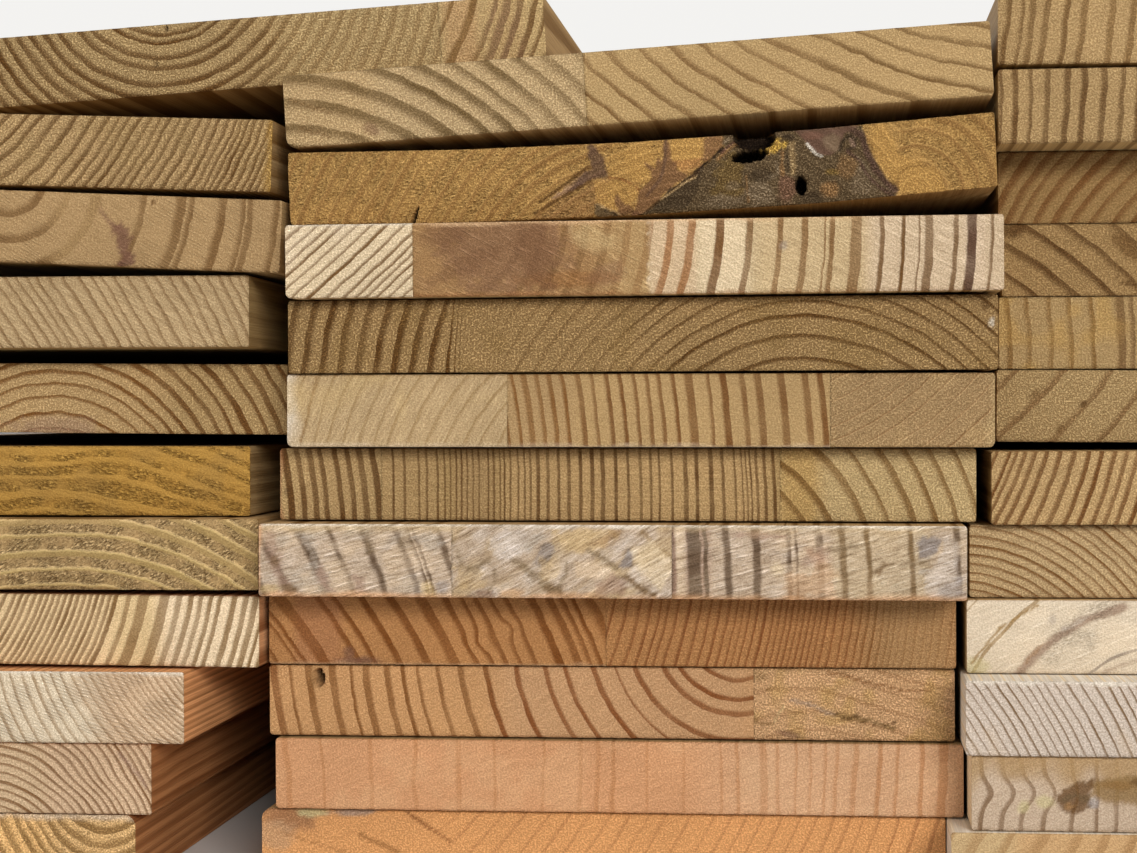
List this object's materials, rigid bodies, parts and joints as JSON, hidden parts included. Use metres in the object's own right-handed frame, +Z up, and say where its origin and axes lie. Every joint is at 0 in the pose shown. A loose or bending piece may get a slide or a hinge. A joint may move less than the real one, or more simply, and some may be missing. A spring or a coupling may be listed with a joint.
{
  "type": "stack of lumber",
  "caption": "Stack of planed softwood boards lying flat in three columns, with sawn end grain showing, some boards warped, some edge-glued from staves.",
  "frame": {"origin": "on the floor under the middle of the stack's outline", "axes": "+Z up, +Y along the boards from the pictured ends to the far ends, +X to the right as seen from those ends"},
  "size_m": [0.5994, 1.8618, 0.2457],
  "materials": {
    "pine_tan": "planed softwood, matte",
    "pine_golden": "planed softwood, matte",
    "pine_cream": "planed softwood, matte",
    "pine_reddish": "planed softwood, matte"
  },
  "bodies": {
    "root": {"left_board_01_left_stave": "pine_tan", "left_board_01_right_stave": "pine_tan", "left_board_02": "pine_tan", "left_board_03": "pine_tan", "left_board_04": "pine_tan", "left_board_05": "pine_golden", "left_board_06": "pine_golden", "left_board_07": "pine_golden", "left_board_08": "pine_tan", "left_board_09": "pine_cream", "left_board_10": "pine_reddish", "left_board_11": "pine_golden", "middle_board_01_left_stave": "pine_tan", "middle_board_01_right_stave": "pine_tan", "middle_board_02": "pine_golden", "middle_board_03_left_stave": "pine_cream", "middle_board_03_right_stave": "pine_cream", "middle_board_04": "pine_golden", "middle_board_05_centre_stave": "pine_tan", "middle_board_05_left_stave": "pine_tan", "middle_board_05_right_stave": "pine_tan", "middle_board_06_centre_stave": "pine_golden", "middle_board_06_left_stave": "pine_golden", "middle_board_06_right_stave": "pine_golden", "middle_board_07_centre_stave": "pine_cream", "middle_board_07_left_stave": "pine_cream", "middle_board_07_right_stave": "pine_cream", "middle_board_08_left_stave": "pine_reddish", "middle_board_08_right_stave": "pine_reddish", "middle_board_09_left_stave": "pine_reddish", "middle_board_09_right_stave": "pine_reddish", "middle_board_10": "pine_reddish", "middle_board_11": "pine_reddish", "right_board_01": "pine_tan", "right_board_02": "pine_tan", "right_board_03": "pine_tan", "right_board_04": "pine_reddish", "right_board_05": "pine_golden", "right_board_06": "pine_reddish", "right_board_07": "pine_golden", "right_board_08": "pine_golden", "right_board_09": "pine_cream", "right_board_10": "pine_cream", "right_board_11": "pine_cream", "right_board_12": "pine_cream"}
  },
  "joints": []
}
